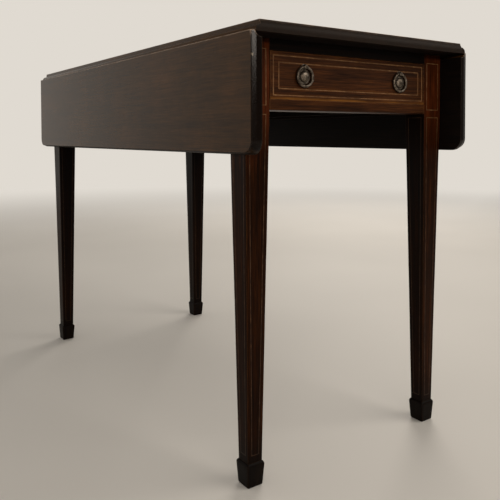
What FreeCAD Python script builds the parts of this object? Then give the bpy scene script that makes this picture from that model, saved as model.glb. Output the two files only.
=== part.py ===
"""Pembroke table: drop-leaf top on rule joints, end drawer, fly brackets and square tapered legs.

Frame: millimetres, +Z up, origin on the floor under the middle of the top. X runs across the
drawer end and Y along the leaves; the drawer faces -Y. Both leaves hang, as stored.
"""
import FreeCAD, Part
import math
import os

V = FreeCAD.Vector

# Top and leaves
table_height = 711.0
top_length = 1006.0
board_thickness = 18.0
joint_line_x = 225.5        # arris of the fixed top beside each leaf
rule_fillet = 7.0           # upright step above the ovolo
rule_radius = 9.0           # ovolo of the fixed top
rule_gap = 0.4              # air between ovolo and cove
leaf_reach = 179.0          # hinge pin to the leaf's free edge
leaf_corner_radius = 22.0
mould_width = 3.6           # thumbnail moulding, measured along the board
mould_quirk = 2.2           # step down from the face to the moulding
mould_depth = 11.0          # height of its rounded part

# Frame
leaf_to_frame_gap = 1.5
leg_width = 45.0
leg_inset = 45.5            # end of the top to the outer face of a leg
frieze_depth = 110.0
ankle_width = 26.4
foot_height = 38.5
foot_width = 32.2
foot_toe_width = 27.6
foot_shoulder = 5.5
foot_tenon = 14.0
foot_tenon_length = 22.0
rail_inset = 4.0            # inner face of a leg to the inner face of the side rail
fly_inset = 5.0             # outer face of a leg to the outer face of the fly rail
end_rail_thickness = 20.0
lower_rail_height = 17.0
upper_rail_height = 18.0
rail_round = 3.0            # lower arris of the end rails
tenon_length = 20.0
tenon_thickness = 9.0
tenon_shoulder = 12.0
tenon_setback = 6.0         # face of a rail to its tenon

# Stringing
string_width = 1.3
string_depth = 0.9
leg_string_margin = 6.4
frieze_string_rise = 7.0    # frieze panel above the bottom of the frieze
frieze_string_top = 16.0
taper_string_drop = 6.0     # long panel below the bottom of the frieze
taper_string_foot = 11.0    # long panel above the foot
drawer_string_margin = 5.5
drawer_string_step = 10.5   # outer line to inner line

# Fly rails
fly_drop = 0.5              # underside of the top to the bracket
fly_depth = 100.0
fly_length = 170.0          # knuckle axis to the tip of the bracket
fly_tip_depth = 52.0
fly_ogee_length = 60.0
fly_end_gap = 1.5
knuckle_count = 5
knuckle_gap = 0.4
knuckle_wall = 0.3          # barrel inside the faces of the rail
fly_pin_radius = 2.5
pin_clearance = 0.05

# Drawer
drawer_gap = 1.0            # drawer front to the legs and upper rail
drawer_lift = 0.4           # drawer above its runners
drawer_front_thickness = 20.0
drawer_side_thickness = 9.0
drawer_side_drop = 3.0      # top of the front to the top of the sides
drawer_side_gap = 0.5
drawer_length = 420.0
drawer_lap = 6.0            # wood of the front that hides the dovetails
dovetail_count = 3
dovetail_slope = 1.0 / 7.0
dovetail_pin = 6.5          # pin between two tails, at the inside of the front
bottom_thickness = 6.0
bottom_rise = 6.0
bottom_groove = 4.0
back_drop = 6.0
back_housing = 3.0          # back let into each side
back_end_margin = 8.0
runner_width = 22.0
runner_height = 12.0
guide_height = 36.0
stop_size = (30.0, 16.0, 4.0)
stop_share = 0.425          # place of a stop in half the drawer's width
stop_gap = 0.3

# Ring pulls
pull_share = 0.62           # distance between the pulls in the drawer's width
ring_radius = 15.4
ring_wire = 2.1
ring_eye_gap = 0.7          # ring wire to the eye it hangs in
ring_standoff = 2.9         # middle of the wire to the wood
post_radius = 3.8
post_nose = 3.9             # middle of the wire to the end of the post
flange_radius = 5.2
plate_radius = 12.4
plate_thickness = 0.45
plate_dome_radius = 9.2
plate_dome_height = 5.4
plate_bead = 0.9
shank_radius = 2.4
nut_width = 9.0
nut_height = 3.5

# Rule hinges
hinge_count = 3
hinge_end = 173.0           # end of the top to the middle of an end hinge
hinge_width = 36.0
hinge_knuckles = 5
hinge_knuckle_gap = 0.3
hinge_barrel = 3.2
hinge_pin_radius = 1.5
hinge_plate = 2.0
hinge_short_flap = 34.0
hinge_long_flap = 48.0
hinge_clearance = 0.5
screw_head_radius = 3.4
screw_radius = 1.7
screw_head_depth = 1.7
screw_length = 11.0
screw_clearance = 0.1
screw_slot = 0.8
screw_edge = 8.0            # screws from the edges of a flap

# Glue blocks under the top
block_size = 26.0
block_length = 60.0
block_share = 0.55          # place of an end block in half the width between the legs
block_screw_bite = 10.0

# Derived levels and planes
underside = table_height - board_thickness
pin_z = table_height - rule_fillet - rule_radius
frieze_bottom = underside - frieze_depth
half_length = top_length / 2
leg_outer_x = joint_line_x + rule_fillet + rule_radius - board_thickness - leaf_to_frame_gap
leg_x = leg_outer_x - leg_width / 2
leg_inner_x = leg_outer_x - leg_width
leg_outer_y = half_length - leg_inset
leg_y = leg_outer_y - leg_width / 2
leg_inner_y = leg_outer_y - leg_width
rail_thickness = (leg_width - rail_inset - fly_inset) / 2
fly_thickness = rail_thickness
rail_inner_x = leg_inner_x + rail_inset
rail_outer_x = rail_inner_x + rail_thickness
fly_outer_x = rail_outer_x + fly_thickness
drawer_floor = frieze_bottom + lower_rail_height
drawer_ceiling = underside - upper_rail_height
drawer_low = drawer_floor + drawer_lift
drawer_high = drawer_ceiling - drawer_gap
drawer_half = leg_inner_x - drawer_gap
drawer_side_outer = drawer_half - drawer_side_gap
drawer_side_inner = drawer_side_outer - drawer_side_thickness
drawer_back_y = -leg_outer_y + drawer_length
drawer_inside_y = -leg_outer_y + drawer_front_thickness
pull_x = drawer_half * pull_share
pull_z = (drawer_low + drawer_high) / 2
hinge_spacing = (top_length - 2 * hinge_end) / (hinge_count - 1)


def box(x0, x1, y0, y1, z0, z1):
    return Part.makeBox(x1 - x0, y1 - y0, z1 - z0, V(x0, y0, z0))


def prism(points, direction):
    """Closed outline pushed along a direction."""
    wire = Part.makePolygon(points + points[:1])
    return Part.Face(wire).extrude(direction)


def mirror_x(shape):
    return shape.mirror(V(0, 0, 0), V(1, 0, 0))


def mirror_y(shape):
    return shape.mirror(V(0, 0, 0), V(0, 1, 0))


def fuse(shapes):
    joined = shapes[0].multiFuse(shapes[1:]) if len(shapes) > 1 else shapes[0]
    return joined.removeSplitter()


def square(width, z):
    h = width / 2
    return [V(-h, -h, z), V(h, -h, z), V(h, h, z), V(-h, h, z)]


def frustum(width_low, z_low, width_high, z_high):
    """Square block about the Z axis with flat sloping sides."""
    low = square(width_low, z_low)
    high = square(width_high, z_high)
    outlines = [low, high]
    for i in range(4):
        j = (i + 1) % 4
        outlines.append([low[i], low[j], high[j], high[i]])
    faces = [Part.Face(Part.makePolygon(outline + outline[:1])) for outline in outlines]
    return Part.Solid(Part.Shell(faces))


def cylinder(radius, base, direction, length):
    return Part.makeCylinder(radius, length, base, direction)


def thumbnail_waste(origin, outward):
    """Outline of the wood that a thumbnail moulding takes off an edge, in the upright plane at origin.

    The face ends at a quirk; below it the edge swells out to the full size of the board.
    """
    spill = leaf_corner_radius
    swell = (mould_width ** 2 + mould_depth ** 2) / (2 * mould_width)
    half_turn = math.asin(mould_depth / swell) / 2

    def at(u, z):
        return origin + outward * u + V(0, 0, z)

    arc_top = -mould_quirk
    arc_end = arc_top - mould_depth
    middle = at(-swell * (1 - math.cos(half_turn)), arc_end + swell * math.sin(half_turn))
    corner = at(-mould_width, arc_top)
    low = at(0, arc_end)
    edges = [Part.makeLine(at(-mould_width, spill), corner),
             Part.Arc(corner, middle, low).toShape(),
             Part.makeLine(low, at(0, -board_thickness - spill)),
             Part.makeLine(at(0, -board_thickness - spill), at(spill, -board_thickness - spill)),
             Part.makeLine(at(spill, -board_thickness - spill), at(spill, spill)),
             Part.makeLine(at(spill, spill), at(-mould_width, spill))]
    return Part.Wire(edges)


def rule_arc(radius, low):
    """Quarter round about the hinge pin from above the pin to the level low, on the right-hand side."""
    run = math.sqrt(radius ** 2 - (pin_z - low) ** 2)
    top = V(joint_line_x, 0, pin_z + radius)
    slant = radius * math.sqrt(0.5)
    middle = V(joint_line_x + slant, 0, pin_z + slant)
    return Part.Arc(top, middle, V(joint_line_x + run, 0, low)).toShape()


def make_centre_top():
    """Fixed board: ovolo along both sides, thumbnail moulding across both ends."""
    side = rule_arc(rule_radius, underside)
    start = side.Vertexes[0].Point
    end = side.Vertexes[1].Point
    half = Part.Wire([Part.makeLine(V(0, 0, table_height), V(joint_line_x, 0, table_height)),
                      Part.makeLine(V(joint_line_x, 0, table_height), start), side,
                      Part.makeLine(end, V(0, 0, underside)),
                      Part.makeLine(V(0, 0, underside), V(0, 0, table_height))])
    right = Part.Face(half).extrude(V(0, top_length, 0))
    right.translate(V(0, -half_length, 0))
    board = fuse([right, mirror_x(right)])
    reach = joint_line_x + rule_radius + 1
    waste = Part.Face(thumbnail_waste(V(-reach, -half_length, table_height), V(0, -1, 0)))
    waste = waste.extrude(V(2 * reach, 0, 0))
    return board.cut(waste).cut(mirror_y(waste))


def make_raised_leaf():
    """Right leaf standing level: cove along the joint, moulding round the three free edges."""
    edge_x = joint_line_x + leaf_reach
    cove = rule_arc(rule_radius + rule_gap, underside)
    blank = box(joint_line_x + rule_gap, edge_x, -half_length, half_length, underside, table_height)
    hollow = Part.Wire([cove, Part.makeLine(cove.Vertexes[1].Point, V(joint_line_x, 0, underside)),
                        Part.makeLine(V(joint_line_x, 0, underside), cove.Vertexes[0].Point)])
    hollow = Part.Face(hollow).extrude(V(0, top_length + 2, 0))
    hollow.translate(V(0, -half_length - 1, 0))
    leaf = blank.cut(hollow)
    r = leaf_corner_radius
    bend = r * math.sqrt(0.5)
    cx = edge_x - r
    cy = half_length - r
    start = V(joint_line_x - r, -half_length, table_height)
    path = Part.Wire([
        Part.makeLine(start, V(cx, -half_length, table_height)),
        Part.Arc(V(cx, -half_length, table_height), V(cx + bend, -cy - bend, table_height),
                 V(edge_x, -cy, table_height)).toShape(),
        Part.makeLine(V(edge_x, -cy, table_height), V(edge_x, cy, table_height)),
        Part.Arc(V(edge_x, cy, table_height), V(cx + bend, cy + bend, table_height),
                 V(cx, half_length, table_height)).toShape(),
        Part.makeLine(V(cx, half_length, table_height), V(start.x, half_length, table_height))])
    waste = path.makePipeShell([thumbnail_waste(start, V(0, -1, 0))], True, True)
    return leaf.cut(waste)


def lower_leaf(shape):
    """Turns a piece of the raised right leaf down about the hinge pin."""
    turned = shape.copy()
    turned.rotate(V(joint_line_x, 0, pin_z), V(0, 1, 0), 90)
    return turned


def string_frame(corners, inward):
    """Line of inlay round a flat four-sided panel, let into the surface along inward."""
    middle = (corners[0] + corners[1] + corners[2] + corners[3]) * 0.25
    inner = []
    for i, corner in enumerate(corners):
        along = (corners[(i + 1) % 4] - corner).normalize()
        back = (corners[i - 1] - corner).normalize()
        turn = math.acos(along.dot(back))
        bisector = (along + back).normalize()
        inner.append(corner + bisector * (string_width / math.sin(turn / 2)))
    outline = Part.Face(Part.makePolygon(corners + corners[:1]))
    opening = Part.Face(Part.makePolygon(inner + inner[:1]))
    if (inner[0] - middle).Length > (corners[0] - middle).Length:
        raise ValueError("panel corners are out of order")
    return outline.cut(opening).extrude(inward * string_depth)


def leg_half_width(z):
    """Half the width of a tapering leg at a height."""
    share = (z - foot_height) / (frieze_bottom - foot_height)
    return (ankle_width + (leg_width - ankle_width) * share) / 2


def make_leg_strings():
    """Long tapered panel on each face of a leg at the origin, and a frieze panel on its -Y face."""
    low = foot_height + taper_string_foot
    high = frieze_bottom - taper_string_drop
    half_low = leg_half_width(low)
    half_high = leg_half_width(high)
    a = half_low - leg_string_margin
    b = half_high - leg_string_margin
    corners = [V(-a, -half_low, low), V(a, -half_low, low), V(b, -half_high, high),
               V(-b, -half_high, high)]
    inward = (corners[1] - corners[0]).cross(corners[0] - corners[3]).normalize()
    panel = string_frame(corners, inward)
    strings = []
    for turn in range(4):
        copy = panel.copy()
        copy.rotate(V(0, 0, 0), V(0, 0, 1), 90 * turn)
        strings.append(copy)
    half = leg_width / 2
    c = half - leg_string_margin
    z0 = frieze_bottom + frieze_string_rise
    z1 = underside - frieze_string_top
    face = [V(-c, -half, z0), V(c, -half, z0), V(c, -half, z1), V(-c, -half, z1)]
    strings.append(string_frame(face, V(0, 1, 0)))
    return strings


def make_leg():
    """Square leg at the origin: frieze block, taper on four faces, tenon for the foot."""
    block = Part.makeBox(leg_width, leg_width, frieze_depth,
                         V(-leg_width / 2, -leg_width / 2, frieze_bottom))
    taper = frustum(ankle_width, foot_height, leg_width, frieze_bottom)
    tenon = frustum(foot_tenon, foot_height - foot_tenon_length, foot_tenon, foot_height)
    return fuse([block, taper, tenon])


def make_foot():
    """Spade foot at the origin: bevelled shoulder, sides tapering to the toe, mortise for the leg."""
    body = frustum(foot_toe_width, 0, foot_width, foot_height - foot_shoulder)
    shoulder = frustum(foot_width, foot_height - foot_shoulder, ankle_width, foot_height)
    mortise = frustum(foot_tenon, foot_height - foot_tenon_length, foot_tenon, foot_height)
    return fuse([body, shoulder]).cut(mortise)


def make_side_rail():
    """Right inner rail with a tenon at each end."""
    body = box(rail_inner_x, rail_outer_x, -leg_inner_y, leg_inner_y, frieze_bottom, underside)
    x0 = (rail_inner_x + rail_outer_x - tenon_thickness) / 2
    tenon = box(x0, x0 + tenon_thickness, -leg_inner_y - tenon_length, leg_inner_y + tenon_length,
                frieze_bottom + tenon_shoulder, underside - tenon_shoulder)
    return fuse([body, tenon])


def round_lower_arris(rail, y):
    """Rounds the bottom edge of an end rail on its outer face at y."""
    edges = []
    for edge in rail.Edges:
        middle = edge.CenterOfMass
        if abs(middle.y - y) < 0.01 and abs(middle.z - frieze_bottom) < 0.01:
            edges.append(edge)
    return rail.makeFillet(rail_round, edges)


def make_lower_rail():
    """Rail under the drawer, as deep as the legs, with a tenon at each end."""
    body = box(-leg_inner_x, leg_inner_x, -leg_outer_y, -leg_inner_y, frieze_bottom, drawer_floor)
    body = round_lower_arris(body, -leg_outer_y)
    y0 = -leg_outer_y + tenon_setback
    shoulder = lower_rail_height / 4
    tenon = box(-leg_inner_x - tenon_length, leg_inner_x + tenon_length, y0, y0 + tenon_thickness,
                frieze_bottom + shoulder, drawer_floor - shoulder)
    return fuse([body, tenon])


def make_upper_rail():
    """Rail over the drawer, dovetailed down into the tops of the legs."""
    body = box(-leg_inner_x, leg_inner_x, -leg_outer_y, -leg_inner_y, drawer_ceiling, underside)
    y0 = -leg_outer_y + tenon_setback
    y1 = y0 + tenon_thickness
    flare = tenon_length * dovetail_slope
    end = leg_inner_x + tenon_length
    tail = prism([V(leg_inner_x, y0 + flare, drawer_ceiling), V(end, y0, drawer_ceiling),
                  V(end, y1, drawer_ceiling), V(leg_inner_x, y1 - flare, drawer_ceiling)],
                 V(0, 0, upper_rail_height))
    return fuse([body, tail, mirror_x(tail)])


def make_back_rail():
    """Full-depth rail at the far end, which carries the dummy drawer's lines and pulls."""
    y1 = leg_outer_y
    y0 = y1 - end_rail_thickness
    body = box(-leg_inner_x, leg_inner_x, y0, y1, frieze_bottom, underside)
    body = round_lower_arris(body, y1)
    tenon = box(-leg_inner_x - tenon_length, leg_inner_x + tenon_length,
                y1 - tenon_setback - tenon_thickness, y1 - tenon_setback,
                frieze_bottom + tenon_shoulder, underside - tenon_shoulder)
    return fuse([body, tenon])


def make_front_strings():
    """Two lines of inlay round the drawer front, on the -Y face."""
    strings = []
    for inset in (drawer_string_margin, drawer_string_margin + drawer_string_step):
        x = drawer_half - inset
        z0 = drawer_low + inset
        z1 = drawer_high - inset
        corners = [V(-x, -leg_outer_y, z0), V(x, -leg_outer_y, z0), V(x, -leg_outer_y, z1),
                   V(-x, -leg_outer_y, z1)]
        strings.append(string_frame(corners, V(0, 1, 0)))
    return strings


def make_fly_parts():
    """Right fly rail: hinge block and end block, the bracket between them, and its iron pin."""
    axis_x = (rail_outer_x + fly_outer_x) / 2
    axis_y = -fly_length / 2
    tip_y = axis_y + fly_length
    high = underside - fly_drop
    low = high - fly_depth
    barrel = fly_thickness / 2 - knuckle_wall

    def ogee(shift):
        """S-shaped saw cut that parts the bracket from the end block."""
        foot = V(rail_outer_x, tip_y - fly_ogee_length + shift, low)
        tip = V(rail_outer_x, tip_y + shift, high - fly_tip_depth)
        centre = (foot + tip) * 0.5
        bow = V(0, fly_ogee_length / 12, -(fly_depth - fly_tip_depth) / 12)
        first = Part.Arc(foot, (foot + centre) * 0.5 + bow, centre).toShape()
        second = Part.Arc(centre, (centre + tip) * 0.5 - bow, tip).toShape()
        return [first, second]

    cut = ogee(0)
    foot_line = Part.makeLine(V(rail_outer_x, axis_y, low), cut[0].Vertexes[0].Point)
    outline = Part.Wire([foot_line] + cut + [
        Part.makeLine(cut[1].Vertexes[1].Point, V(rail_outer_x, tip_y, high)),
        Part.makeLine(V(rail_outer_x, tip_y, high), V(rail_outer_x, axis_y, high)),
        Part.makeLine(V(rail_outer_x, axis_y, high), V(rail_outer_x, axis_y, low))])
    bracket = Part.Face(outline).extrude(V(fly_thickness, 0, 0))

    cut = ogee(fly_end_gap)
    foot_line = Part.makeLine(V(rail_outer_x, leg_inner_y, low), cut[0].Vertexes[0].Point)
    outline = Part.Wire([foot_line] + cut + [
        Part.makeLine(cut[1].Vertexes[1].Point, V(rail_outer_x, tip_y + fly_end_gap, high)),
        Part.makeLine(V(rail_outer_x, tip_y + fly_end_gap, high), V(rail_outer_x, leg_inner_y, high)),
        Part.makeLine(V(rail_outer_x, leg_inner_y, high), V(rail_outer_x, leg_inner_y, low))])
    end_block = Part.Face(outline).extrude(V(fly_thickness, 0, 0))

    hinge_block = box(rail_outer_x, fly_outer_x, -leg_inner_y, axis_y, low, high)
    reach = fly_thickness
    vee = prism([V(axis_x, axis_y, low - 1), V(axis_x + reach, axis_y + reach, low - 1),
                 V(axis_x + reach, axis_y - reach, low - 1)], V(0, 0, fly_depth + 2))
    bracket = bracket.cut(vee)
    hinge_block = hinge_block.cut(vee)
    pitch = fly_depth / knuckle_count
    for i in range(knuckle_count):
        z0 = low + i * pitch
        room = cylinder(barrel + knuckle_gap, V(axis_x, axis_y, z0), V(0, 0, 1), pitch)
        finger = cylinder(barrel, V(axis_x, axis_y, z0 + knuckle_gap / 2), V(0, 0, 1), pitch - knuckle_gap)
        if i % 2 == 0:
            hinge_block = hinge_block.fuse(finger)
            bracket = bracket.cut(room)
        else:
            bracket = bracket.fuse(finger)
            hinge_block = hinge_block.cut(room)
    hole = cylinder(fly_pin_radius + pin_clearance, V(axis_x, axis_y, low - 1), V(0, 0, 1), fly_depth + 2)
    pin = cylinder(fly_pin_radius, V(axis_x, axis_y, low), V(0, 0, 1), fly_depth)
    rail = [hinge_block.cut(hole).removeSplitter(), end_block]
    return rail, bracket.cut(hole).removeSplitter(), pin


def make_drawer():
    """Drawer box: front, right side with lapped dovetails, back and bottom board."""
    front = box(-drawer_half, drawer_half, -leg_outer_y, drawer_inside_y, drawer_low, drawer_high)
    side_high = drawer_high - drawer_side_drop
    side = box(drawer_side_inner, drawer_side_outer, drawer_inside_y, drawer_back_y, drawer_low, side_high)
    tail_length = drawer_front_thickness - drawer_lap
    pitch = (side_high - drawer_low) / dovetail_count
    root = (pitch - dovetail_pin) / 2
    end = root + tail_length * dovetail_slope
    sockets = []
    for i in range(dovetail_count):
        z = drawer_low + (i + 0.5) * pitch
        y0 = drawer_inside_y
        y1 = y0 - tail_length
        corners = [V(drawer_side_inner, y0, z - root), V(drawer_side_inner, y0, z + root),
                   V(drawer_side_inner, y1, z + end), V(drawer_side_inner, y1, z - end)]
        side = side.fuse(prism(corners, V(drawer_side_thickness, 0, 0)))
        sockets.append(prism(corners, V(drawer_half - drawer_side_inner, 0, 0)))
    bottom_z = drawer_low + bottom_rise
    reach = drawer_side_inner + bottom_groove
    bottom = box(-reach, reach, drawer_inside_y - bottom_groove, drawer_back_y,
                 bottom_z, bottom_z + bottom_thickness)
    housed = drawer_side_inner + back_housing
    back = box(-housed, housed, drawer_back_y - back_end_margin - drawer_side_thickness,
               drawer_back_y - back_end_margin, bottom_z + bottom_thickness, side_high - back_drop)
    for socket in sockets:
        front = front.cut(socket).cut(mirror_x(socket))
    front = front.cut(bottom)
    side = side.removeSplitter().cut(bottom).cut(back)
    return front, side, back, bottom


def make_drawer_ways():
    """Right runner under the drawer side, guide beside it and kicker above it."""
    inner = rail_inner_x - runner_width
    runner = box(inner, rail_inner_x, -leg_inner_y, leg_inner_y, drawer_floor - runner_height, drawer_floor)
    guide = box(drawer_side_outer + drawer_side_gap, rail_inner_x, -leg_inner_y, leg_inner_y,
                drawer_floor, drawer_floor + guide_height)
    kicker = box(inner, rail_inner_x, -leg_inner_y, drawer_back_y,
                 drawer_high - drawer_side_drop + drawer_gap, underside)
    return runner, guide, kicker


def make_stop():
    """Small block on the lower rail that the inside of the drawer front meets."""
    width, depth, height = stop_size
    y0 = drawer_inside_y + stop_gap
    x = drawer_half * stop_share
    return box(x - width / 2, x + width / 2, y0, y0 + depth, drawer_floor, drawer_floor + height)


def make_pull(wood):
    """Ring pull centred on the origin, facing -Y from a board of thickness wood behind Y = 0.

    The ring hangs in the eye of its post, close to the wood, and lies round the plate.
    """
    r = plate_dome_radius
    sphere = (r ** 2 + plate_dome_height ** 2) / (2 * plate_dome_height)
    half = math.asin(r / sphere) / 2
    base = -plate_thickness
    peak = base - plate_dome_height
    dome_mid = V(sphere * math.sin(half), peak + sphere * (1 - math.cos(half)), 0)
    rim = plate_radius
    bead_start = rim - plate_bead / 2
    bead_end = bead_start - 2 * plate_bead
    bead_mid = V((bead_start + bead_end) / 2, base - plate_bead, 0)
    outline = Part.Wire([
        Part.makeLine(V(0, 0, 0), V(rim, 0, 0)),
        Part.makeLine(V(rim, 0, 0), V(rim, base, 0)),
        Part.makeLine(V(rim, base, 0), V(bead_start, base, 0)),
        Part.Arc(V(bead_start, base, 0), bead_mid, V(bead_end, base, 0)).toShape(),
        Part.makeLine(V(bead_end, base, 0), V(r, base, 0)),
        Part.Arc(V(r, base, 0), dome_mid, V(0, peak, 0)).toShape(),
        Part.makeLine(V(0, peak, 0), V(0, 0, 0))])
    plate = Part.Face(outline).revolve(V(0, 0, 0), V(0, 1, 0), 360)
    lobe = cylinder(flange_radius, V(0, base, ring_radius), V(0, 1, 0), plate_thickness)
    shank_hole = cylinder(shank_radius + pin_clearance, V(0, base - 1, ring_radius), V(0, 1, 0), wood + 2)
    seat = cylinder(post_radius + pin_clearance, V(0, base - plate_bead, ring_radius),
                    V(0, 1, 0), plate_bead)
    plate = plate.fuse(lobe).cut(shank_hole).cut(seat)
    nose = ring_standoff + post_nose
    post = cylinder(post_radius, V(0, -nose, ring_radius), V(0, 1, 0), nose - plate_thickness)
    post = post.makeFillet(post_radius / 2, [e for e in post.Edges if e.BoundBox.YMax < -nose + 0.1])
    eye = cylinder(ring_wire + ring_eye_gap, V(-2 * post_radius, -ring_standoff, ring_radius),
                   V(1, 0, 0), 4 * post_radius)
    shank = cylinder(shank_radius, V(0, -ring_standoff, ring_radius), V(0, 1, 0),
                     ring_standoff + wood + nut_height)
    post = post.fuse(shank).cut(eye).removeSplitter()
    ring = Part.makeTorus(ring_radius, ring_wire, V(0, -ring_standoff, 0), V(0, 1, 0))
    h = nut_width / 2
    nut = box(-h, h, wood, wood + nut_height, ring_radius - h, ring_radius + h)
    nut_hole = cylinder(shank_radius + pin_clearance, V(0, wood - 1, ring_radius),
                        V(0, 1, 0), nut_height + 2)
    return plate, post, ring, nut.cut(nut_hole)


def screw(base, length, extra=0.0):
    """Countersunk screw pointing up from base; extra widens it into its hole."""
    head = Part.makeCone(screw_head_radius + extra, screw_radius + extra, screw_head_depth, base)
    shank = cylinder(screw_radius + extra, base, V(0, 0, 1), length + extra)
    return head.fuse(shank).removeSplitter()


def slotted_screw(base, length):
    slot = Part.makeBox(4 * screw_head_radius, screw_slot, screw_slot,
                        base - V(2 * screw_head_radius, screw_slot / 2, 0))
    return screw(base, length).cut(slot)


def make_hinge(y):
    """Right rule hinge with the leaf level: flaps, pin, screws and the room that each board gives them."""
    x = joint_line_x
    half = hinge_width / 2
    start = hinge_barrel + hinge_clearance
    top_z = underside + hinge_plate
    top_flap = box(x - hinge_short_flap, x - start, y - half, y + half, underside, top_z)
    leaf_flap = box(x + start, x + hinge_long_flap, y - half, y + half, underside, top_z)
    top_room = top_flap.copy()
    leaf_room = leaf_flap.copy()
    pitch = hinge_width / hinge_knuckles
    for i in range(hinge_knuckles):
        y0 = y - half + i * pitch + (hinge_knuckle_gap / 2 if i else 0)
        y1 = y - half + (i + 1) * pitch - (hinge_knuckle_gap / 2 if i < hinge_knuckles - 1 else 0)
        barrel = cylinder(hinge_barrel, V(x, y0, pin_z), V(0, 1, 0), y1 - y0)
        if i % 2 == 0:
            neck = box(x - start, x, y0, y1, underside, top_z)
            top_flap = top_flap.fuse(neck).fuse(barrel)
        else:
            neck = box(x, x + start, y0, y1, underside, top_z)
            leaf_flap = leaf_flap.fuse(neck).fuse(barrel)
    pin = cylinder(hinge_pin_radius, V(x, y - half, pin_z), V(0, 1, 0), hinge_width)
    bore = cylinder(hinge_pin_radius + pin_clearance, V(x, y - half - 1, pin_z),
                    V(0, 1, 0), hinge_width + 2)
    spare = half + hinge_clearance
    barrel_room = cylinder(start, V(x, y - spare, pin_z), V(0, 1, 0), 2 * spare)
    slot_room = box(x, x + rule_radius + 1, y - spare, y + spare, underside - 1, top_z + hinge_clearance)
    neck_room = box(x - start, x, y - spare, y + spare, underside - 1, pin_z)
    top_room = top_room.fuse(barrel_room).fuse(slot_room).fuse(neck_room)
    across = half - screw_edge
    top_spots = [V(x - hinge_short_flap + screw_edge, y + s * across, underside) for s in (-1, 1)]
    leaf_spots = [V(x + hinge_long_flap - screw_edge, y + s * across, underside) for s in (-1, 1)]
    leaf_spots.append(V(x + rule_radius + screw_edge, y, underside))
    top_screws = [slotted_screw(spot, screw_length) for spot in top_spots]
    leaf_screws = [slotted_screw(spot, screw_length) for spot in leaf_spots]
    for spot in top_spots:
        hole = screw(spot, screw_length, screw_clearance)
        top_flap = top_flap.cut(hole)
        top_room = top_room.fuse(hole)
    for spot in leaf_spots:
        hole = screw(spot, screw_length, screw_clearance)
        leaf_flap = leaf_flap.cut(hole)
        leaf_room = leaf_room.fuse(hole)
    return {"top_flap": top_flap.cut(bore).removeSplitter(),
            "leaf_flap": leaf_flap.cut(bore).removeSplitter(),
            "pin": pin, "top_screws": top_screws, "leaf_screws": leaf_screws,
            "top_room": top_room, "leaf_room": leaf_room}


def make_blocks():
    """Glue blocks in the corner of rail and top behind the drawer, with the screws that hold the top."""
    spots = []
    for side in (-1, 1):
        for share in (0.25, 0.75):
            y = drawer_back_y + share * (leg_inner_y - drawer_back_y)
            spots.append((side * (rail_inner_x - block_size / 2), y, block_size, block_length))
        spots.append((side * leg_inner_x * block_share, leg_outer_y - end_rail_thickness - block_size / 2,
                      block_length, block_size))
    blocks = []
    screws = []
    holes = []
    for x, y, wide, deep in spots:
        block = box(x - wide / 2, x + wide / 2, y - deep / 2, y + deep / 2,
                    underside - block_size, underside)
        base = V(x, y, underside - block_size)
        hole = screw(base, block_size + block_screw_bite, screw_clearance)
        blocks.append(block.cut(hole))
        screws.append(slotted_screw(base, block_size + block_screw_bite))
        holes.append(hole)
    return blocks, screws, holes


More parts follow.
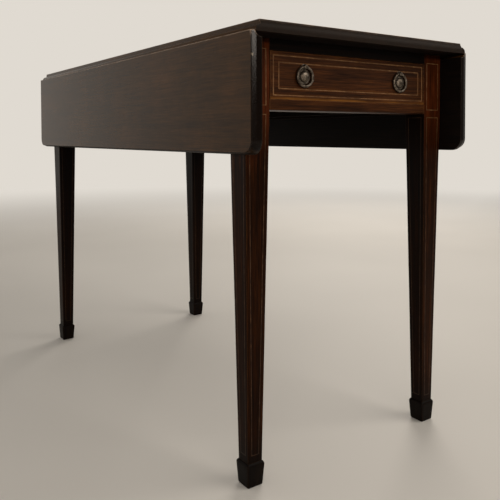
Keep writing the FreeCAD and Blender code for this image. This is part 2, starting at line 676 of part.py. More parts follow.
def make_parts():
    """All nodes by name, each a shape or a list of separate solids."""
    parts = {}
    hinges = [make_hinge((i - (hinge_count - 1) / 2) * hinge_spacing) for i in range(hinge_count)]
    blocks, block_screws, block_holes = make_blocks()

    top = make_centre_top()
    leaf = make_raised_leaf()
    for hinge in hinges:
        top = top.cut(hinge["top_room"]).cut(mirror_x(hinge["top_room"]))
        leaf = leaf.cut(hinge["leaf_room"])
    for hole in block_holes:
        top = top.cut(hole)
    parts["centre_top"] = top
    hung = {
        "leaf": lower_leaf(leaf),
        "hinge_top_flaps": [h["top_flap"] for h in hinges],
        "hinge_leaf_flaps": [lower_leaf(h["leaf_flap"]) for h in hinges],
        "hinge_pins": [h["pin"] for h in hinges],
        "hinge_top_screws": [s for h in hinges for s in h["top_screws"]],
        "hinge_leaf_screws": [lower_leaf(s) for h in hinges for s in h["leaf_screws"]],
    }

    fly_rail, bracket, fly_pin = make_fly_parts()
    side_rail = make_side_rail()
    hung["side_rail"] = side_rail
    hung["fly_rail"] = fly_rail
    hung["fly_bracket"] = bracket
    hung["fly_pin"] = fly_pin
    for name, shape in hung.items():
        pieces = shape if isinstance(shape, list) else [shape]
        parts["right_" + name] = pieces
        parts["left_" + name] = [mirror_x(piece) for piece in pieces]

    lower_rail = make_lower_rail()
    upper_rail = make_upper_rail()
    back_rail = make_back_rail()
    front_strings = make_front_strings()
    back_strings = [mirror_y(s) for s in front_strings]

    leg = make_leg()
    foot = make_foot()
    leg_strings = make_leg_strings()
    for string in leg_strings:
        leg = leg.cut(string)
    for end, turned in (("front", False), ("back", True)):
        for side, sign in (("left", -1), ("right", 1)):
            name = end + "_" + side
            place = V(sign * leg_x, leg_y if turned else -leg_y, 0)
            rails = [side_rail if sign > 0 else mirror_x(side_rail)]
            rails += [back_rail] if turned else [lower_rail, upper_rail]
            pieces = [leg, foot] + leg_strings
            if turned:
                pieces = [mirror_y(piece) for piece in pieces]
            placed = [piece.translated(place) for piece in pieces]
            body = placed[0]
            for rail in rails:
                body = body.cut(rail)
            parts[name + "_leg"] = body
            parts[name + "_foot"] = placed[1]
            parts[name + "_leg_stringing"] = placed[2:]

    front, side, back, bottom = make_drawer()
    for string in front_strings:
        front = front.cut(string)
    for string in back_strings:
        back_rail = back_rail.cut(string)
    pulls = {"plates": [], "posts": [], "nuts": []}
    dummies = {"plates": [], "posts": [], "nuts": []}
    pieces = make_pull(drawer_front_thickness)
    back_pieces = [mirror_y(piece) for piece in make_pull(end_rail_thickness)]
    for side_name, sign in (("left", -1), ("right", 1)):
        place = V(sign * pull_x, -leg_outer_y, pull_z)
        plate, post, ring, nut = [piece.translated(place) for piece in pieces]
        hole = cylinder(shank_radius + pin_clearance, place + V(0, -1, ring_radius), V(0, 1, 0),
                        drawer_front_thickness + 2)
        front = front.cut(hole)
        parts["drawer_" + side_name + "_ring"] = ring
        pulls["plates"].append(plate)
        pulls["posts"].append(post)
        pulls["nuts"].append(nut)
        place = V(sign * pull_x, leg_outer_y, pull_z)
        plate, post, ring, nut = [piece.translated(place) for piece in back_pieces]
        hole = cylinder(shank_radius + pin_clearance, place + V(0, 1, ring_radius), V(0, -1, 0),
                        end_rail_thickness + 2)
        back_rail = back_rail.cut(hole)
        parts["dummy_" + side_name + "_ring"] = ring
        dummies["plates"].append(plate)
        dummies["posts"].append(post)
        dummies["nuts"].append(nut)
    for kind in pulls:
        parts["drawer_pull_" + kind] = pulls[kind]
        parts["dummy_pull_" + kind] = dummies[kind]

    parts["drawer_front"] = front
    parts["drawer_stringing"] = front_strings
    parts["drawer_right_side"] = side
    parts["drawer_left_side"] = mirror_x(side)
    parts["drawer_back"] = back
    parts["drawer_bottom"] = bottom
    parts["back_end_rail"] = back_rail
    parts["back_end_stringing"] = back_strings
    parts["drawer_lower_rail"] = lower_rail
    parts["drawer_upper_rail"] = upper_rail
    runner, guide, kicker = make_drawer_ways()
    stop = make_stop()
    for name, shape in (("runners", runner), ("guides", guide), ("kickers", kicker), ("stops", stop)):
        parts["drawer_" + name] = [shape, mirror_x(shape)]
    parts["top_glue_blocks"] = blocks
    parts["top_screws"] = block_screws
    return parts


def export(parts):
    os.makedirs("parts", exist_ok=True)
    for name, shape in parts.items():
        if isinstance(shape, list):
            shape = shape[0] if len(shape) == 1 else Part.makeCompound(shape)
        shape.exportStep("parts/" + name + ".step")


if __name__ == "__main__":
    export(make_parts())
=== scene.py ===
"""Pembroke table: looks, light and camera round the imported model, in metres and in its own frame."""
import math

import bpy
import numpy as np
from mathutils import Matrix, Vector


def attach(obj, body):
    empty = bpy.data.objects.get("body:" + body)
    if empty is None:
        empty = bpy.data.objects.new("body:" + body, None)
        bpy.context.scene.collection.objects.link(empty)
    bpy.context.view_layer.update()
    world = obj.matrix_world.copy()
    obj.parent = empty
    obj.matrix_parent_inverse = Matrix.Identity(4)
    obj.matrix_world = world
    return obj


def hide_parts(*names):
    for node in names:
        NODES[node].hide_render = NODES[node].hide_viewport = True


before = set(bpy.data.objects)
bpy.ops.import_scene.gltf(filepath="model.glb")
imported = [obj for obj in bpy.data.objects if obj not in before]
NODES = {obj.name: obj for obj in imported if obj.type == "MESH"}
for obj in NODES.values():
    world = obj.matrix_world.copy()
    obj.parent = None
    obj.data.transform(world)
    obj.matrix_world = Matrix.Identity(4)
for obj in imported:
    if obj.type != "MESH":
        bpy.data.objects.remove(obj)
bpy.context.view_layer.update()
MM = 0.001

# Sizes of the table that the added pieces follow, in millimetres
LEG_X, LEG_Y = 199.5, 435.0                     # middle of a leg
LEG_WIDTH, ANKLE_WIDTH = 45.0, 26.4
FRIEZE_BOTTOM, UNDERSIDE = 583.0, 693.0
INLAY_PROUD = 0.1                               # stringing stands this much above the wood round it
FOOT_HEIGHT, FOOT_WIDTH, TOE_WIDTH, FOOT_SHOULDER = 38.5, 32.2, 27.6, 5.5
PULL_X, PULL_Z, END_Y = 109.43, 637.2, 457.5    # middle of a plate
POST_RISE = 15.4                                # post above the middle of its plate

# Small forms of the added pieces, in millimetres
ARRIS = 0.45                                    # radius of a leg's arris, which wears in two waves
LONG_WEAR, LONG_WAVE = 0.15, 37.0
SHORT_WEAR, SHORT_WAVE = 0.1, 13.0
SHOULDER_POWER = 2.4                            # a foot draws in by this power of its shoulder's rise
FOOT_CORNER = 1.2
TOE_WEAR, TOE_WEAR_TOP = 1.3, 2.0               # what a toe has lost at the floor, and where that ends
TOE_ROWS, BLADE_FROM = (0, 0.3, 0.9, 2.0), 4    # heights of the rows of points low on a foot
PLATE_RADIUS, PLATE_THICKNESS, PLATE_EDGE = 12.4, 0.45, 0.1
STEP_FOOT, STEP_OUTER, STEP_INNER = 0.9, 1.1, 1.6       # edges of a turned step, in from the beads
STEP_HEIGHT = 0.5
DOME_RADIUS, DOME_HEIGHT = 9.2, 5.4
LOBE_RADIUS, LOBE_TIP, LOBE_SWELL = 5.2, 0.3, 0.01      # lobe of the plate behind the post
LOBE_GAP = 4.6                                  # half of the gap that the lobe leaves in the beads
BEAD_COUNT, BEAD_RADIUS, BEAD_CIRCLE = 36, 0.85, 11.3

# Where wear and dirt lie on the table, in millimetres
LOW_DARK_TOP = 95.0                                # wood and stringing grow darker towards the floor below this height
INNER_LOW, INNER_HIGH = 150.0, 480.0            # the darkening of inner leg faces, old polish and painted shade, grows between these
FRIEZE_FADE = 60.0                              # bright stringing of the frieze fades over this height
DRAWER_LOW = 600.4                              # lower edge of the drawer front
FREE_EDGE_Z = 516.0                             # free edge of a hanging leaf, painted dark for the shade of its moulding
JOINT_Z = 694.0                                 # a hanging leaf's arris is rubbed by hands, and painted with a highlight, above this
TOP_ARRIS_Z = 708.0                             # and the arris of the fixed top above this
KNOCK = (-239.5, -501.5, 660.0)                 # a knock on the end of the left leaf

# Sizes of the patterns in mahogany, in millimetres
RIBBON, STREAK, CLOUD, SWELL = 7.0, 1.8, 120.0, 40.0
PORE = 1.0                      # pores are 0.2 mm wide in the wood; drawn this wide so that they show
THIN_PATCH, RUB_PATCH, AMBER_PATCH = 85.0, 26.0, 70.0
WARM_FADE, RUB_FADE = 100.0, 8.0                # thin stain with its painted light, and rubbing with its painted highlight, fade over these heights
EDGE_TOP, EDGE_FULL = 4.4, 3.4                  # a moulded edge painted dark as the shade of its moulding fades out and is full so far up
AMBER_TOP, AMBER_FULL = 4.5, 0.6                # and so does an edge rubbed to amber
KNOCK_GRAIN, KNOCK_SHAKE = 3.0, 7.0             # grain and reach of a knock's ragged outline
KNOCK_EDGE, KNOCK_FULL = 3.0, 2.0               # raw wood fades out and is full so far from its middle
SWELL_DEPTH, PORE_DEPTH = 0.3, 0.06
FIGURE_SQUEEZE, PORE_SQUEEZE = 0.035, 0.06      # width of a streak or a pore over its length


def linear(colour):
    """Linear RGBA of an sRGB hex colour."""
    c = np.array([int(colour[i:i + 2], 16) for i in (1, 3, 5)]) / 255
    c = np.where(c <= 0.04045, c / 12.92, ((c + 0.055) / 1.055) ** 2.4)
    return (*c, 1.0)


def add(tree, kind, inputs=None, out=0, stops=(), **settings):
    """Adds a node with its settings and gives one of its outputs.

    Inputs are numbers, hex colours or sockets to link; stops are (place, hex colour or grey level) of
    a ramp.
    """
    node = tree.nodes.new("ShaderNode" + kind)
    for key, value in settings.items():
        setattr(node, key, value)
    for key, value in (inputs or {}).items():
        socket = node.inputs[key]
        if isinstance(value, bpy.types.NodeSocket):
            tree.links.new(value, socket)
        else:
            socket.default_value = linear(value) if isinstance(value, str) else value
    for i, (place, colour) in enumerate(stops):
        points = node.color_ramp.elements
        point = points[i] if i < len(points) else points.new(place)
        point.position = place
        point.color = linear(colour) if isinstance(colour, str) else (colour, colour, colour, 1.0)
    return node.outputs[out] if node.outputs else node


def new_material(name):
    """Empty material, and its node tree."""
    material = bpy.data.materials.new(name)
    material.use_nodes = True
    material.node_tree.nodes.clear()
    return material, material.node_tree


def finish_surface(material, tree, sockets):
    """Puts these values and links on the material's one surface."""
    shader = add(tree, "BsdfPrincipled", sockets)
    add(tree, "OutputMaterial", {"Surface": shader})
    return material


def lay_tones(tree, colour, layers):
    """Tones laid over a colour, one after another; a layer is its mask, its strength and its tone."""
    for mask, strength, tone in layers:
        share = add(tree, "Math", {0: mask, 1: strength}, operation="MULTIPLY")
        colour = add(tree, "Mix", {0: share, 6: colour, 7: tone}, 2, data_type="RGBA")
    return colour


def along_grain(tree, axis, squeeze):
    """Object coordinates squeezed along the grain, so that a pattern runs that way."""
    scale = [1.0, 1.0, 1.0]
    scale["XYZ".index(axis)] = squeeze
    return add(tree, "Mapping", {"Vector": add(tree, "TexCoord", out="Object"), "Scale": scale})


def wear_dirt_and_shade(tree, round_mm, rub_mm, dirt_and_shade_mm):
    """Normal rounded over the arrises, a mask of the arrises that hands rub, and one of corners, for
    dirt, patina and painted shade.
    """
    soft = add(tree, "Bevel", {"Radius": round_mm * MM}, samples=6)
    wide = add(tree, "Bevel", {"Radius": rub_mm * MM}, samples=6)
    flat = add(tree, "NewGeometry", out="Normal")
    agree = add(tree, "VectorMath", {0: wide, 1: flat}, "Value", operation="DOT_PRODUCT")
    arris = add(tree, "ValToRGB", {0: agree}, stops=((0.80, 1.0), (0.985, 0.0)))
    open_share = add(tree, "AmbientOcclusion", {"Distance": dirt_and_shade_mm * MM}, "AO", samples=8)
    corner = add(tree, "ValToRGB", {0: open_share}, stops=((0.25, 1.0), (0.85, 0.0)))
    return soft, arris, corner


def inner_faces(tree):
    """Mask of the faces of the legs that look towards the middle of the table, weaker low on the leg;
    they are darkened as old polish and as painted shade, deepest under the top.

    Place as a share of the leg's own, times the normal, is about -1 on such a face, along X or Y.
    """
    place = add(tree, "TexCoord", out="Object")
    facing = add(tree, "TexCoord", out="Normal")
    height = add(tree, "SeparateXYZ", {0: place}, "Z")
    fade = add(tree, "MapRange", {0: height, 1: INNER_LOW * MM, 2: INNER_HIGH * MM, 3: 0.55})
    share = (1 / (LEG_X * MM), 1 / (LEG_Y * MM), 0.0)
    place = add(tree, "VectorMath", {0: place, 1: share}, operation="MULTIPLY")
    outwards = add(tree, "VectorMath", {0: place, 1: facing}, operation="MULTIPLY")
    across = add(tree, "SeparateXYZ", {0: outwards}, "X")
    along = add(tree, "SeparateXYZ", {0: outwards}, "Y")
    least = add(tree, "Math", {0: across, 1: along}, operation="MINIMUM")
    inner = add(tree, "MapRange", {0: least, 1: -0.25, 2: -0.6})
    return add(tree, "Math", {0: inner, 1: fade}, operation="MULTIPLY")


def thin_stain_and_light(tree, place, facing, height, stain_and_light_z):
    """Mask of thin stain: faces towards the ends of the table above stain_and_light_z, where it is also
    painted light, or else soft patches.
    """
    if not stain_and_light_z:
        patch = add(tree, "TexNoise", {"Vector": place, "Scale": 1 / (THIN_PATCH * MM), "Detail": 4,
                                       "Roughness": 0.65})
        return add(tree, "ValToRGB", {0: patch}, stops=((0.46, 0.0), (0.68, 0.7)))
    outer = add(tree, "SeparateXYZ", {0: facing}, "Y")
    outer = add(tree, "Math", {0: outer}, operation="ABSOLUTE")
    share = add(tree, "MapRange", {0: height, 1: (stain_and_light_z - WARM_FADE) * MM, 2: stain_and_light_z * MM})
    return add(tree, "Math", {0: share, 1: outer}, operation="MULTIPLY")


def rub_and_highlight_arris(tree, place, height, arris, rub_and_highlight_from):
    """Mask of arrises rubbed in patches, mostly above rub_and_highlight_from, where the pale tone laid
    with it is also a painted highlight.
    """
    rubbed = add(tree, "TexNoise", {"Vector": place, "Scale": 1 / (RUB_PATCH * MM), "Detail": 3,
                                    "Roughness": 0.6})
    rubbed = add(tree, "ValToRGB", {0: rubbed}, stops=((0.32, 0.25), (0.56, 1.0)))
    rubbed = add(tree, "Math", {0: rubbed, 1: arris}, operation="MULTIPLY")
    if rub_and_highlight_from:
        upper = add(tree, "MapRange", {0: height, 1: (rub_and_highlight_from - RUB_FADE) * MM, 2: rub_and_highlight_from * MM,
                                       3: 0.05})
        rubbed = add(tree, "Math", {0: rubbed, 1: upper}, operation="MULTIPLY")
    return rubbed


def amber_edge(tree, place, height, amber_z):
    """Mask of a lower edge at amber_z that is rubbed in patches."""
    band = add(tree, "MapRange", {0: height, 1: (amber_z + AMBER_TOP) * MM,
                                  2: (amber_z + AMBER_FULL) * MM})
    patch = add(tree, "TexNoise", {"Vector": place, "Scale": 1 / (AMBER_PATCH * MM), "Detail": 2})
    patch = add(tree, "ValToRGB", {0: patch}, stops=((0.36, 0.15), (0.58, 0.85)))
    return add(tree, "Math", {0: band, 1: patch}, operation="MULTIPLY")


def ragged_knock(tree, place, chip):
    """Mask of a small knock: nearness to its middle, made ragged by shaking the place with noise."""
    ragged = add(tree, "TexNoise", {"Vector": place, "Scale": 1 / (KNOCK_GRAIN * MM), "Detail": 2},
                 "Color")
    ragged = add(tree, "VectorMath", {0: ragged, 1: (KNOCK_SHAKE * MM,) * 3, 2: place},
                 operation="MULTIPLY_ADD")
    spot = [(v + KNOCK_SHAKE / 2) * MM for v in chip]
    reach = add(tree, "VectorMath", {0: ragged, 1: spot}, "Value", operation="DISTANCE")
    return add(tree, "MapRange", {0: reach, 1: KNOCK_EDGE * MM, 2: KNOCK_FULL * MM})


def polished_mahogany(name, axis, deep, middle, bright, worn, roughness, gloss,
                      thin=None, rub_mm=1.8, rub_and_highlight_from=None, dull_ends=0.0, shaded_edge_z=None,
                      bare_shaded_side=None, amber_z=None, stain_and_light_z=None, low_dark_z=None, chip=None,
                      dark_inside=0.0, end_share=0.85):
    """Cuban mahogany, planed, stained dark and French polished.

    Gives the eye an even dark ground with fine streaks along the grain, short pores, paler rubbed
    arrises that on the leaves and top are also a painted highlight, corners dark and dull with old polish
    and painted shade, dark end grain and a thin film.

    thin is the tone where the stain has gone thin: in soft patches, or above stain_and_light_z on faces
    towards the ends of the table, where it is also painted light. Arrises are rubbed over rub_mm, mostly
    above rub_and_highlight_from, where the worn tone is also a painted highlight. end_share is how far
    end grain is darkened, and dull_ends its least roughness. shaded_edge_z is the height of a moulded
    edge that is painted dark as the shade of its moulding and is dull like the ends, amber_z that of an
    edge rubbed to amber, and low_dark_z the height below which the wood grows darker towards the floor.
    bare_shaded_side is the direction of a face left without polish and painted near black as shade, chip
    the place of a knock that shows raw wood, and dark_inside how far the inner faces of legs are
    darkened, as old polish and as painted shade.
    """
    material, tree = new_material(name)
    place = add(tree, "TexCoord", out="Object")
    facing = add(tree, "TexCoord", out="Normal")
    height = add(tree, "SeparateXYZ", {0: place}, "Z")
    grain = along_grain(tree, axis, FIGURE_SQUEEZE)
    ribbon = add(tree, "TexNoise", {"Vector": grain, "Scale": 1 / (RIBBON * MM), "Detail": 4,
                                    "Roughness": 0.6, "Distortion": 0.3})
    streak = add(tree, "TexNoise", {"Vector": grain, "Scale": 1 / (STREAK * MM), "Detail": 3,
                                    "Roughness": 0.6})
    cloud = add(tree, "TexNoise", {"Vector": place, "Scale": 1 / (CLOUD * MM), "Detail": 2})
    pores = add(tree, "TexNoise", {"Vector": along_grain(tree, axis, PORE_SQUEEZE),
                                   "Scale": 1 / (PORE * MM), "Detail": 2})
    pores = add(tree, "ValToRGB", {0: pores}, stops=((0.60, 0.0), (0.70, 1.0)))
    figure = add(tree, "Math", {0: ribbon, 1: streak}, operation="ADD")
    figure = add(tree, "Math", {0: figure, 1: 0.5}, operation="MULTIPLY")
    colour = add(tree, "ValToRGB", {0: figure}, stops=((0.36, deep), (0.50, middle), (0.64, bright)))
    faded = add(tree, "ValToRGB", {0: cloud}, stops=((0.38, 0.35), (0.62, 0.0)))
    end = add(tree, "VectorMath", {0: facing, 1: [float(a == axis) for a in "XYZ"]}, "Value",
              operation="DOT_PRODUCT")
    end = add(tree, "Math", {0: end}, operation="ABSOLUTE")
    end = add(tree, "ValToRGB", {0: end}, stops=((0.35, 0.0), (0.75, end_share)))
    soft, arris, corner = wear_dirt_and_shade(tree, round_mm=0.8, rub_mm=rub_mm, dirt_and_shade_mm=4)
    layers = []                 # mask, strength and tone of each tone over the figure, in order
    dry = [(corner, 0.6)]       # mask and least roughness of each place where the film has gone
    # thin stain; high on the legs' faces towards the ends the warm tone is also painted light
    if thin:
        red = add(tree, "ValToRGB", {0: figure}, stops=((0.34, middle), (0.62, thin)))
        layers.append((thin_stain_and_light(tree, place, facing, height, stain_and_light_z), 1.0, red))
    # free edge of a hanging leaf: painted dark as the shade of its moulding, and dulled
    if shaded_edge_z:
        edge = add(tree, "MapRange", {0: height, 1: (shaded_edge_z + EDGE_TOP) * MM,
                                      2: (shaded_edge_z + EDGE_FULL) * MM, 4: 0.85})
        end = add(tree, "Math", {0: end, 1: edge}, operation="MAXIMUM")
        dry.append((edge, 0.65))
    if dull_ends:
        dry.append((end, dull_ends))
    # rubbed arrises take the worn tone: wear, and on the leaves and top a painted highlight as well
    rubbed = rub_and_highlight_arris(tree, place, height, arris, rub_and_highlight_from)
    layers += [(pores, 0.5, deep), (faded, 1.0, deep), (end, 1.0, "#0c0604"), (rubbed, 1.0, worn)]
    if amber_z:
        layers.append((amber_edge(tree, place, height, amber_z), 1.0, "#96622a"))
    if chip:
        layers.append((ragged_knock(tree, place, chip), 1.0, "#a3937f"))
    # inner leg faces darkened as old polish and as painted shade
    if dark_inside:
        layers.append((inner_faces(tree), dark_inside, "#050302"))
    # darker towards the floor
    if low_dark_z:
        low = add(tree, "MapRange", {0: height, 1: low_dark_z * MM, 2: FOOT_HEIGHT * MM, 4: 0.8})
        layers.append((low, 1.0, "#0a0604"))
    # corners darkened with old polish and painted shade
    layers.append((corner, 0.85, "#060403"))
    # faces left without polish: dull, and painted near black as the shade under the top and inside the
    # leaves
    if bare_shaded_side:
        bare_shade = add(tree, "VectorMath", {0: facing, 1: bare_shaded_side}, "Value", operation="DOT_PRODUCT")
        bare_shade = add(tree, "ValToRGB", {0: bare_shade}, stops=((0.85, 0.0), (0.95, 1.0)))
        raw = add(tree, "ValToRGB", {0: streak}, stops=((0.35, "#050302"), (0.65, "#150b06")))
        layers.append((bare_shade, 1.0, raw))
        dry.append((bare_shade, 0.6))
    colour = lay_tones(tree, colour, layers)
    film = add(tree, "MapRange", {0: cloud, 3: roughness - 0.05, 4: roughness + 0.05})
    pore_film = add(tree, "Math", {0: pores, 1: 0.12}, operation="MULTIPLY")
    film = add(tree, "Math", {0: film, 1: pore_film}, operation="ADD")
    for mask, level in dry:
        least = add(tree, "Math", {0: mask, 1: level}, operation="MULTIPLY")
        film = add(tree, "Math", {0: film, 1: least}, operation="MAXIMUM")
    swell = add(tree, "TexNoise", {"Vector": grain, "Scale": 1 / (SWELL * MM), "Detail": 1})
    normal = add(tree, "Bump", {"Height": swell, "Strength": 0.4, "Distance": SWELL_DEPTH * MM,
                                "Normal": soft})
    normal = add(tree, "Bump", {"Height": pores, "Strength": 0.25, "Distance": PORE_DEPTH * MM,
                                "Normal": normal}, invert=True)
    return finish_surface(material, tree, {"Base Color": colour, "Roughness": film, "Normal": normal,
                                           "Specular IOR Level": gloss})


def plain_wood(name, axis, deep, middle, bright, roughness):
    """Secondary wood left from the plane: open straight grain, dry and unpolished, dark with age."""
    ring_mm, fleck_mm, grime_mm, fleck_depth_mm = 9, 1.6, 70, 0.1
    ring_squeeze, fleck_squeeze = 0.03, 0.08
    material, tree = new_material(name)
    place = add(tree, "TexCoord", out="Object")
    rings = add(tree, "TexNoise", {"Vector": along_grain(tree, axis, ring_squeeze),
                                   "Scale": 1 / (ring_mm * MM), "Detail": 4, "Roughness": 0.6,
                                   "Distortion": 0.3})
    fleck = add(tree, "TexNoise", {"Vector": along_grain(tree, axis, fleck_squeeze),
                                   "Scale": 1 / (fleck_mm * MM), "Detail": 2})
    fleck = add(tree, "ValToRGB", {0: fleck}, stops=((0.58, 0.0), (0.70, 1.0)))
    grime = add(tree, "TexNoise", {"Vector": place, "Scale": 1 / (grime_mm * MM), "Detail": 3})
    grime = add(tree, "ValToRGB", {0: grime}, stops=((0.45, 0.0), (0.70, 0.5)))
    soft, arris, corner = wear_dirt_and_shade(tree, round_mm=0.8, rub_mm=1.0, dirt_and_shade_mm=8)
    colour = add(tree, "ValToRGB", {0: rings}, stops=((0.30, deep), (0.50, middle), (0.70, bright)))
    # corners darkened with dirt and painted shade
    colour = lay_tones(tree, colour, ((fleck, 0.45, deep), (grime, 1.0, deep), (arris, 0.35, bright),
                                      (corner, 0.7, "#0c0704")))
    film = add(tree, "MapRange", {0: fleck, 3: roughness, 4: roughness + 0.12})
    normal = add(tree, "Bump", {"Height": fleck, "Strength": 0.7, "Distance": fleck_depth_mm * MM,
                                "Normal": soft}, invert=True)
    return finish_surface(material, tree, {"Base Color": colour, "Roughness": film, "Normal": normal,
                                           "Specular IOR Level": 0.06})


def boxwood():
    """Boxwood stringing: close pale wood let in flush under amber polish, grimed here and there.

    The lines down the tapered legs have gone darker than those of the frieze, and those on the inner
    faces of the legs are darkened nearly out of sight, by grime and by painted shade.
    """
    tone_mm, grime_mm, tone_depth_mm = 9, 45, 0.1
    material, tree = new_material("boxwood_stringing")
    place = add(tree, "TexCoord", out="Object")
    height = add(tree, "SeparateXYZ", {0: place}, "Z")
    tone = add(tree, "TexNoise", {"Vector": place, "Scale": 1 / (tone_mm * MM), "Detail": 3})
    fresh = add(tree, "ValToRGB", {0: tone},
                stops=((0.32, "#64462a"), (0.55, "#846040"), (0.75, "#9c7a52")))
    dim = add(tree, "ValToRGB", {0: tone},
              stops=((0.32, "#2e1d12"), (0.55, "#4a3322"), (0.75, "#664a33")))
    frieze = add(tree, "MapRange", {0: height, 1: (FRIEZE_BOTTOM - FRIEZE_FADE) * MM,
                                    2: FRIEZE_BOTTOM * MM})
    grime = add(tree, "TexNoise", {"Vector": place, "Scale": 1 / (grime_mm * MM), "Detail": 3})
    grime = add(tree, "ValToRGB", {0: grime}, stops=((0.48, 0.0), (0.72, 0.7)))
    # darker towards the floor, laid into the grime mask
    low = add(tree, "MapRange", {0: height, 1: LOW_DARK_TOP * MM, 2: FOOT_HEIGHT * MM, 4: 0.85})
    grime = add(tree, "Math", {0: grime, 1: low}, operation="MAXIMUM")
    # the grime mask also takes the inner leg faces, darkened there partly as painted shade
    inner = add(tree, "Math", {0: inner_faces(tree), 1: 0.9}, operation="MULTIPLY")
    grime = add(tree, "Math", {0: grime, 1: inner}, operation="MAXIMUM")
    colour = lay_tones(tree, dim, ((frieze, 1.0, fresh), (grime, 1.0, "#21140b")))
    film = add(tree, "MapRange", {0: tone, 3: 0.28, 4: 0.42})
    normal = add(tree, "Bump", {"Height": tone, "Strength": 0.3, "Distance": tone_depth_mm * MM})
    return finish_surface(material, tree, {"Base Color": colour, "Roughness": film, "Normal": normal,
                                           "Specular IOR Level": 0.15})


def old_metal(name, deep, middle, bright, roughness, pit_mm, patina):
    """Old cast or wrought metal: bright where handled, dull and dark in the hollows, finely pitted."""
    mottle_mm, pit_depth_mm = 5, 0.12
    material, tree = new_material(name)
    place = add(tree, "TexCoord", out="Object")
    mottle = add(tree, "TexNoise", {"Vector": place, "Scale": 1 / (mottle_mm * MM), "Detail": 4,
                                    "Roughness": 0.6})
    pits = add(tree, "TexNoise", {"Vector": place, "Scale": 1 / (pit_mm * MM), "Detail": 2})
    soft, arris, corner = wear_dirt_and_shade(tree, round_mm=0.4, rub_mm=0.6, dirt_and_shade_mm=3)
    colour = add(tree, "ValToRGB", {0: mottle}, stops=((0.32, deep), (0.52, middle), (0.72, bright)))
    colour = lay_tones(tree, colour, ((arris, 0.5, bright), (corner, patina, "#120e0a")))
    film = add(tree, "MapRange", {0: mottle, 3: roughness - 0.08, 4: roughness + 0.08})
    dull = add(tree, "Math", {0: corner, 1: 0.25}, operation="MULTIPLY")
    film = add(tree, "Math", {0: film, 1: dull}, operation="ADD")
    normal = add(tree, "Bump", {"Height": pits, "Strength": 0.35, "Distance": pit_depth_mm * MM,
                                "Normal": soft})
    return finish_surface(material, tree, {"Base Color": colour, "Roughness": film, "Normal": normal,
                                           "Metallic": 1.0})


def rounded_square(half, radius, arc=5, side=4):
    """Points of squares with rounded corners, one per row; half and radius are arrays over the rows.

    Corner k turns from k*90 degrees to (k+1)*90 degrees about (half - radius) on its two axes, and the
    side to the next corner is divided evenly.
    """
    half = np.asarray(half, float)[:, None]
    radius = np.broadcast_to(np.asarray(radius, float), half.shape[0])[:, None]
    xs, ys = [], []
    for k in range(4):
        t = np.radians(np.linspace(90 * k, 90 * k + 90, arc))[None, :]
        turn = math.radians(90 * k + 45)
        sx, sy = np.sign(math.cos(turn)), np.sign(math.sin(turn))
        xs.append(sx * (half - radius) + radius * np.cos(t))
        ys.append(sy * (half - radius) + radius * np.sin(t))
    xs, ys = np.stack(xs, 1), np.stack(ys, 1)
    share = np.linspace(0, 1, side + 2)[1:-1]
    fill_x = xs[:, :, -1:] + (np.roll(xs, -1, 1)[:, :, :1] - xs[:, :, -1:]) * share
    fill_y = ys[:, :, -1:] + (np.roll(ys, -1, 1)[:, :, :1] - ys[:, :, -1:]) * share
    xs = np.concatenate([xs, fill_x], 2).reshape(len(half), -1)
    ys = np.concatenate([ys, fill_y], 2).reshape(len(half), -1)
    return xs, ys


def grid_faces(rows, columns):
    """Quads of a grid whose columns close on themselves, wound so that rising rows face outwards."""
    i = np.arange(rows - 1)[:, None]
    j = np.arange(columns)[None, :]
    k = (j + 1) % columns
    low, high = i * columns, (i + 1) * columns
    return np.stack([low + j, low + k, high + k, high + j], -1).reshape(-1, 4)


def end_faces(rows, columns):
    """Flat faces that close such a grid at its first row and its last."""
    first = (rows - 1) * columns
    return [list(range(columns))[::-1], list(range(first, first + columns))]


def make_piece(name, points, faces, body, material, nodes, sharp=35):
    """New piece from points in millimetres, riding on a body and standing for CAD nodes.

    Edges that turn by more than sharp degrees stay crisp.
    """
    mesh = bpy.data.meshes.new(name)
    mesh.from_pydata((np.asarray(points) * MM).tolist(), [], faces)
    mesh.validate()
    mesh.shade_smooth()
    mesh.set_sharp_from_angle(angle=math.radians(sharp))
    mesh.materials.append(material)
    piece = bpy.data.objects.new(name, mesh)
    bpy.context.scene.collection.objects.link(piece)
    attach(piece, body)
    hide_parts(*nodes)
    return piece


def stacked_squares(z, half, radius, place):
    """Closed skin of rounded squares stacked at heights z, with flat ends."""
    xs, ys = rounded_square(half, radius)
    rows, columns = xs.shape
    zs = np.repeat(np.asarray(z, float)[:, None], columns, 1)
    points = np.stack([xs + place[0], ys + place[1], zs], -1).reshape(-1, 3)
    return points, grid_faces(rows, columns).tolist() + end_faces(rows, columns)


